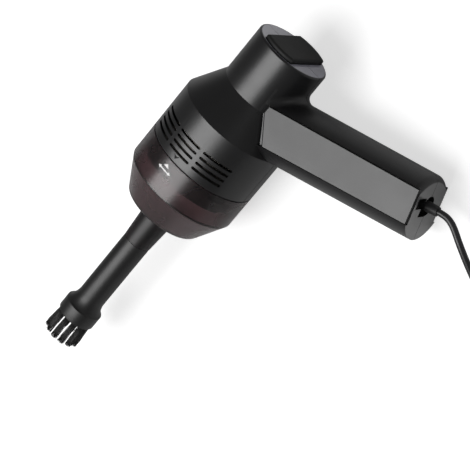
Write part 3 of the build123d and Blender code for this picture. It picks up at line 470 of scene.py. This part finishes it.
def smooth_wire(name, points, width, material, steps, roundness):
    """Round wire on a smooth line past points in metres: a width in mm, steps per span along the
    line, and the fineness of its section."""
    wire = bpy.data.curves.new(name, "CURVE")
    wire.dimensions = "3D"
    run = wire.splines.new("NURBS")
    run.points.add(len(points) - 1)
    run.points.foreach_set("co", np.column_stack((points, np.ones(len(points)))).ravel())
    run.order_u = 3
    run.use_endpoint_u = True
    run.resolution_u = steps
    wire.bevel_depth = width / 2 * MM
    wire.bevel_resolution = roundness
    wire.use_fill_caps = True
    wire.materials.append(material)
    thing = bpy.data.objects.new(name, wire)
    bpy.context.scene.collection.objects.link(thing)
    return thing


# Lead: one smooth line through the photographed lead, the put-away coil and the tail to the plug
cord_width = 3.5
lead_route = [(94.277, -69.086, 15.294), (95.537, -72.740, 14.777), (95.605, -76.625, 14.437),
              (94.426, -80.735, 13.987), (91.504, -86.471, 13.083), (85.774, -96.008, 8.588),
              (78.761, -108.659, 1.75), (71.497, -122.915, 1.75)]
tail_route = [(56.497, -148.896, 5.7), (47.810, -158.544, 5.02), (37.597, -166.523, 4.0),
              (29.965, -171.292, 4.0)]
coil_start = np.array((64.497, -135.040, 1.75))
coil_heading = math.radians(-120.0)
coil_outer = 28.0
coil_pitch = 3.95
coil_layer = 3.95
coil_turns = 4
climb_turns = 0.5
turn_points = 16
ahead = np.array((math.cos(coil_heading), math.sin(coil_heading), 0.0))
outward = np.array((ahead[1], -ahead[0], 0.0))
coil_middle = coil_start + ahead * cord_width - outward * coil_outer


def coil_route():
    """The coil's points: a spiral in on the surface, a climb, and a spiral out on top of it.

    The angle runs on evenly; the radius falls by one pitch a turn and grows by one pitch a turn
    after the climb, which takes the inmost half turn; each point stands out by the half step's
    secant, so that the smooth line between them has the wound radius."""
    turn_out = coil_turns - climb_turns
    count = int(round((coil_turns + climb_turns + turn_out) * turn_points)) + 1
    turn = np.arange(count) / turn_points
    inner = coil_outer - coil_pitch * coil_turns
    radius = np.where(turn <= coil_turns, coil_outer - coil_pitch * turn,
                      inner + coil_pitch * np.maximum(turn - coil_turns - climb_turns, 0.0))
    rise = np.clip((turn - coil_turns) / climb_turns, 0.0, 1.0)
    height = coil_layer * rise * rise * (3.0 - 2.0 * rise)
    angle = 2.0 * math.pi * turn
    secant = 1.0 / math.cos(math.pi / turn_points)
    out = (radius * secant * np.cos(angle))[:, None] * outward
    on = (radius * secant * np.sin(angle))[:, None] * ahead
    return coil_middle + out + on + height[:, None] * np.array((0.0, 0.0, 1.0))


route = np.concatenate((np.array(lead_route), coil_route(), np.array(tail_route))) * MM
cord = smooth_wire("cord", route, cord_width, cord_black, steps=6, roundness=5)
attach(cord, "housing")
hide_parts("cord_lead", "cord_coil", "cord_tail")


# Brush nozzle: the CAD's bore, spigot and groove, with the trumpet flare behind the brush head
spigot_end, spigot_radius, spigot_round = -48.2, 5.9, 0.5
throat_end, throat_radius = -58.2, 4.4
bore_start, bore_radius = -62.2, 5.6
tube_start, tube_middle, tube_radius, tube_round = -58.35, -80.0, 7.5, 0.25
flare_start, flare_radius = -98.9, 10.2
head_start, head_end, head_radius = -106.2, -114.3, 10.5
rim_round, head_round = 0.45, 0.5
groove_floor, groove_inner, groove_outer = -110.5, 7.1, 9.7
nozzle_sides = 96
nozzle_sharp = math.radians(50.0)
corner_points, flare_points = 5, 33


def rounded(station, radius, size, facing):
    """A quarter circle in place of an outer corner; facing is -1 at the front edge of a part and 1
    at its back edge."""
    turn = np.radians(135.0 - 45.0 * facing - np.linspace(0.0, 90.0, corner_points))
    return np.stack((station + size * (np.cos(turn) - facing),
                     radius + size * (np.sin(turn) - 1.0)), -1)


def nozzle_outline():
    """Stations and radii round the nozzle's wall, from the bore out over the head to the spigot.

    Behind the head the radius falls from the head's to the tube's: with t running from 1 to 0 it is
    the tube's plus the rise times half of t squared and half of a quarter ellipse. The head's two
    edges are quarter circles, and small ones round the spigot's shoulders."""
    t = np.linspace(1.0, 0.0, flare_points)[1:]
    share = 0.5 * t * t + 0.5 * (1.0 - np.sqrt(1.0 - t * t))
    flare = np.stack((flare_start + (head_start - flare_start) * t,
                      tube_radius + (flare_radius - tube_radius) * share), -1)
    return np.concatenate((
        [(spigot_end, throat_radius), (throat_end, throat_radius), (bore_start, bore_radius),
         (head_end, bore_radius), (head_end, groove_inner), (groove_floor, groove_inner),
         (groove_floor, groove_outer), (head_end, groove_outer)],
        rounded(head_end, head_radius, head_round, -1),
        rounded(head_start, head_radius, rim_round, 1)[:-1], flare,
        [(tube_middle, tube_radius)], rounded(tube_start, tube_radius, tube_round, 1),
        [(tube_start, spigot_radius)], rounded(spigot_end, spigot_radius, spigot_round, 1)))


def turned(outline, sides):
    """A closed outline of stations and radii, carried round the barrel's axis."""
    turn = np.linspace(0.0, 2.0 * math.pi, sides, endpoint=False)
    return np.stack((np.broadcast_to(outline[:, :1], (len(outline), sides)),
                     -outline[:, 1:] * np.sin(turn), outline[:, 1:] * np.cos(turn)), -1)


skin = turned(nozzle_outline(), nozzle_sides)
nozzle = put("nozzle_skin", placed(skin), grid_faces(*skin.shape[:2], True, True), nozzle_black,
             "nozzle", ("brush_nozzle",))
nozzle.data.set_sharp_from_angle(angle=nozzle_sharp)


# Bristles: twelve tufts that open out towards uneven tips
tuft_count = 12
tuft_first = 15.0
strands_per_tuft = 96
strand_rings = 4
strand_sides = 5
strand_radius, strand_taper = 0.105, 0.28
root_station, root_ring = -113.6, 8.4
tip_station, tip_ring = -127.9, 9.0
tuft_depth, tuft_breadth = 1.08, 1.4
least_opening, opening_range = 1.25, 0.25
tip_wander_out, tip_wander_side, tip_wander_along = 0.14, 0.16, 0.4
bow_out, bow_side = 0.16, 0.2


def bristle_points(random):
    """Strands as tubes: each runs from its root in the tuft to a tip spread out from it.

    A strand's middle line is root + (tip - root) t plus a bow times 4 t (1 - t); its radius narrows
    a little towards the tip; its section is a regular polygon."""
    count = tuft_count * strands_per_tuft
    tuft = np.repeat(np.arange(tuft_count), strands_per_tuft)
    index = np.tile(np.arange(strands_per_tuft), tuft_count)
    turn = np.radians(tuft_first + 360.0 * tuft / tuft_count) - lean
    out = np.stack((np.zeros(count), np.cos(turn), np.sin(turn)), -1)
    side = np.stack((np.zeros(count), -np.sin(turn), np.cos(turn)), -1)
    spread = np.sqrt((index + 0.5) / strands_per_tuft)
    golden = index * math.pi * (3.0 - math.sqrt(5.0))
    a, b = tuft_depth * spread * np.cos(golden), tuft_breadth * spread * np.sin(golden)

    def scattered(way, amount):
        return way * random.normal(0.0, amount, count)[:, None]

    root = out * (root_ring + a)[:, None] + side * b[:, None]
    root[:, 0] = root_station
    opened = least_opening + opening_range * random.random(count)
    tip = out * (tip_ring + a * opened)[:, None] + side * (b * opened)[:, None]
    tip += scattered(out, tip_wander_out)
    tip += scattered(side, tip_wander_side)
    tip[:, 0] = tip_station + np.abs(random.normal(0.0, tip_wander_along, count))
    bow = scattered(out, bow_out) + scattered(side, bow_side)
    t = np.linspace(0.0, 1.0, strand_rings)[None, :, None]
    middle = root[:, None] + (tip - root)[:, None] * t + bow[:, None] * (t * (1.0 - t) * 4.0)
    width = strand_radius * (1.0 - strand_taper * t)
    corner = np.arange(strand_sides) * 2.0 * math.pi / strand_sides
    ring = (out[:, None, None] * np.cos(corner)[None, None, :, None]
            + side[:, None, None] * np.sin(corner)[None, None, :, None])
    return middle[:, :, None] + ring * width[..., None]


strands = bristle_points(np.random.default_rng(7))
strand_count = len(strands)
strand_size = strand_rings * strand_sides
strand_faces = grid_faces(strand_rings, strand_sides, close_columns=True)
strand_faces.append(list(range(strand_sides)))
strand_faces.append(list(reversed(range(strand_size - strand_sides, strand_size))))
bristle_faces = [[v + strand_size * n for v in face]
                 for n in range(strand_count) for face in strand_faces]
bristles = put("bristles", placed(strands), bristle_faces, bristle_black, "nozzle",
               ("brush_bristles",))
shade = bristles.data.attributes.new("strand", "FLOAT", "POINT")
shade.data.foreach_set("value", np.repeat(np.random.default_rng(11).random(strand_count),
                                          strand_size))


# Marks: generic double arrow and triangles, as thin layers on the round faces. Angles are in
# degrees from the top towards the handle
ink_lift = 0.02
triangle_points = 9
arrow_station, arrow_angles, arrow_points = -6.6, (-9.0, 7.6), 49
arrow_head, arrow_slope, arrow_half = 1.7, 0.62, 0.34
cup_triangle = {"station": -4.7, "angle": -1.0, "length": 1.9, "half": 1.8}
lock_triangle = {"station": 1.5, "angle": 0.2, "length": 2.3, "half": 1.75}


def ribbon(station, arc, half, widens):
    """A flat mark as a ribbon on the barrel's round face, lifted by the ink's thickness: its middle
    line is given by stations and by arcs' lengths from the top, and its half width is laid to both
    sides of it, along the axis or along the arc."""
    wide = half[:, None] * np.array((-1.0, 1.0))
    station, arc = np.reshape(station, (-1, 1)), np.reshape(arc, (-1, 1))
    if widens == "station":
        station = station + wide
    else:
        arc = arc + wide
    radius = body_radius + ink_lift
    turn = arc / radius
    return np.stack(np.broadcast_arrays(station, -radius * np.sin(turn), radius * np.cos(turn)), -1)


def triangle_mark(station, angle, length, half, narrows):
    """A triangle along the axis that narrows or widens away from its station."""
    rise = np.linspace(0.0, 1.0, triangle_points)
    share = 1.0 - rise if narrows else rise
    return ribbon(station + length * rise, math.radians(angle) * body_radius, half * share, "arc")


arc = np.linspace(*np.radians(arrow_angles), arrow_points) * body_radius
reach = np.minimum(arc - arc[0], arc[-1] - arc)
arrow = ribbon(arrow_station, arc, np.where(reach < arrow_head, reach * arrow_slope, arrow_half),
               "station")
triangle = triangle_mark(**cup_triangle, narrows=True)
marks = np.concatenate((arrow.reshape(-1, 3), triangle.reshape(-1, 3)))
mark_faces = grid_faces(len(arrow), 2) + grid_faces(len(triangle), 2, start=len(arrow) * 2)
put("turn_marks", placed(marks), mark_faces, white_ink, "dust_cup")

lock = triangle_mark(**lock_triangle, narrows=False)
put("lock_mark", placed(lock), grid_faces(len(lock), 2), dark_ink, "housing")


# Pleated filter sheet behind the spoked frame
sheet_radius, sheet_margin, sheet_station, sheet_thickness = 23.7, 0.12, -5.55, 0.3
fold_pitch, fold_height, fold_points, fold_crest, points_along = 3.0, 2.6, 12, 0.08, 41
drift_step, drift_knots, drift_share = 0.05, 9, 0.3


def pleated(random):
    """A pleated disc: across the folds the station rises and falls evenly between rounded crests;
    along a fold the sheet reaches as far as the circle does there. Crests and flanks wander a
    little, as folded paper does."""
    folds = int(2 * sheet_radius / fold_pitch) // 2 * 2
    half_width = folds * fold_pitch / 2
    place = np.linspace(-half_width, half_width, folds * fold_points + 1)
    place = np.append(np.insert(place, 0, sheet_margin - sheet_radius), sheet_radius - sheet_margin)
    phase = (place / fold_pitch) % 1.0
    wave = 1.0 - np.abs(2.0 * phase - 1.0)
    low = fold_crest / 2 + wave * wave / (2 * fold_crest)
    wave = np.where(wave < fold_crest, low, wave)
    high = 1.0 - fold_crest / 2 - (1.0 - wave) ** 2 / (2 * fold_crest)
    wave = np.where(wave > 1.0 - fold_crest, high, wave)
    half = np.sqrt(sheet_radius ** 2 - place ** 2)
    t = np.linspace(-1.0, 1.0, points_along)
    knots = np.cumsum(random.normal(0.0, drift_step, (folds + 3, drift_knots)), axis=1)
    at = (t + 1.0) * (drift_knots - 1) / 2
    drift = np.stack([np.interp(at, np.arange(drift_knots), row - row.mean()) for row in knots])
    drift = drift[np.clip(((place + sheet_radius) / fold_pitch).astype(int), 0, folds + 2)]
    points = np.empty((len(place), len(t), 3))
    rise = wave[:, None] * (1.0 - drift_share * np.abs(drift))
    points[..., 0] = sheet_station + fold_height * rise
    points[..., 1] = place[:, None]
    points[..., 2] = t * half[:, None]
    return points


folded = pleated(np.random.default_rng(5))
paper = put("filter_pleats", placed(folded), grid_faces(*folded.shape[:2]), filter_paper, "housing",
            ("filter_sheet",))
wall = paper.modifiers.new("paper", "SOLIDIFY")
wall.thickness = sheet_thickness * MM
wall.offset = 0.0


# Leads inside the handle, from the strain relief to the switch and the motor
lead_width, link_width = 1.2, 0.6
switch_station = 53.6
link_route = [(switch_station, 0.0, 2.8), (switch_station, 0.2, 4.0), (switch_station, -0.2, 5.4),
              (switch_station, 0.0, 6.75)]


def inside(reach, height, level):
    """Point in the handle, in mm: reach along it, height across it and level above the parting
    plane."""
    return (grip_root + reach * math.sin(grip_tilt) + height * math.cos(grip_tilt),
            -reach * math.cos(grip_tilt) + height * math.sin(grip_tilt), level)


def supply_route(side, split, end_level, end):
    """A supply lead's way: beside the other one along the handle, then apart from it and in to its
    end at a level of its own."""
    return [inside(101.5, 0.0, side), inside(96.5, 0.0, side), inside(80.0, 2.0, side * 1.3),
            inside(55.0, 5.2, side + split * 0.6), inside(41.0, 6.9, split),
            inside(34.0, 7.5, split), (50.2, -19.0, (split + end_level) / 2),
            (switch_station, -15.0, end_level), (switch_station, -9.0, end_level),
            (switch_station, end, end_level)]


def lead(name, points, width, material):
    """A thin wire past points given from the seam's middle, riding with the housing."""
    wire = smooth_wire(name, placed(points), width, material, steps=8, roundness=3)
    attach(wire, "housing")
    return wire


positive = lead("lead_positive", supply_route(0.85, 0.0, -2.5, -0.6), lead_width, lead_red)
lead("lead_negative", supply_route(-0.85, -3.5, -7.0, -1.0), lead_width, soft_black)
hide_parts("supply_leads")
link = lead("lead_link", link_route, link_width, brass)
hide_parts("motor_lead")


# Stage: floor, plain lamps and the world. The floor glows for the camera, more with the distance
# in metres from the object, and a little where it is mirrored or seen through a piece
floor_half, floor_level = 6.0, -0.0001
floor_tone, mirrored_tone = 0.6, 0.36
near_glow, far_glow, glow_from, glow_to = 0.64, 1.0, 0.45, 1.5
mirrored_glow, behind_glow = 0.12, 0.2


def floor_finish():
    """White floor that keeps the shadow and reads as white to the camera and in reflections."""
    finish = Finish("floor_white").fixed(roughness=0.9, specular=0.1)
    path = finish.add("ShaderNodeLightPath").outputs
    finish.driven(colour=finish.stepped(path["Is Glossy Ray"], floor_tone, mirrored_tone))
    far = finish.add("ShaderNodeVectorMath", operation="LENGTH")
    finish.join(finish.place, far.inputs[0])
    glow = finish.between(far.outputs["Value"], near_glow, far_glow, glow_from, glow_to)
    total = finish.product(path["Is Camera Ray"], glow)
    total = finish.reckoned("MULTIPLY_ADD", path["Is Glossy Ray"], mirrored_glow, total)
    total = finish.reckoned("MULTIPLY_ADD", path["Is Transmission Ray"], behind_glow, total)
    light = finish.add("ShaderNodeEmission")
    light.inputs["Color"].default_value = (1.0, 1.0, 1.0, 1.0)
    finish.join(total, light.inputs["Strength"])
    both = finish.add("ShaderNodeAddShader")
    finish.join(finish.shader.outputs[0], both.inputs[0])
    finish.join(light.outputs[0], both.inputs[1])
    finish.join(both.outputs[0], finish.output.inputs["Surface"])
    return finish.material


floor_mesh = bpy.data.meshes.new("floor")
floor_mesh.from_pydata([(x * floor_half, y * floor_half, floor_level) for x, y in
                        ((-1, -1), (1, -1), (1, 1), (-1, 1))], [], [(0, 1, 2, 3)])
floor_mesh.materials.append(floor_finish())
floor = bpy.data.objects.new("floor", floor_mesh)
bpy.context.scene.collection.objects.link(floor)

lamp_target = Vector((0.04, 0.0, 0.03))


def lamp(name, way, distance, size, radiance):
    """Soft lamp in a direction from the object, turned towards it; its first size lies along Y."""
    data = bpy.data.lights.new(name, "AREA")
    data.shape = "RECTANGLE"
    data.size, data.size_y = size
    data.energy = radiance * math.pi * size[0] * size[1]
    thing = bpy.data.objects.new(name, data)
    way = Vector(way).normalized()
    thing.location = lamp_target + way * distance
    thing.rotation_mode = "QUATERNION"
    wide = (Vector((0.0, 1.0, 0.0)) - way * way.y).normalized()
    thing.rotation_quaternion = Matrix((wide, way.cross(wide), way)).transposed().to_quaternion()
    bpy.context.scene.collection.objects.link(thing)


lamp("key", (-0.39, -0.016, 0.92), distance=1.0, size=(0.86, 0.6), radiance=6.3)
lamp("fill", (0.9, -0.5, 0.35), distance=1.4, size=(0.5, 0.8), radiance=0.5)

# World: white where it is seen, dim as a light
seen_strength, lighting_strength = 1.0, 0.15
world = bpy.data.worlds.new("studio")
world.use_nodes = True
bpy.context.scene.world = world
studio = Nodes(world.node_tree)
backdrop = studio.tree.nodes["Background"]
backdrop.inputs["Color"].default_value = (1.0, 1.0, 1.0, 1.0)
path = studio.add("ShaderNodeLightPath").outputs
seen = studio.reckoned("MAXIMUM", path["Is Camera Ray"], path["Is Transmission Ray"])
studio.join(studio.stepped(seen, lighting_strength, seen_strength), backdrop.inputs["Strength"])

bpy.context.scene.view_settings.view_transform = "Standard"
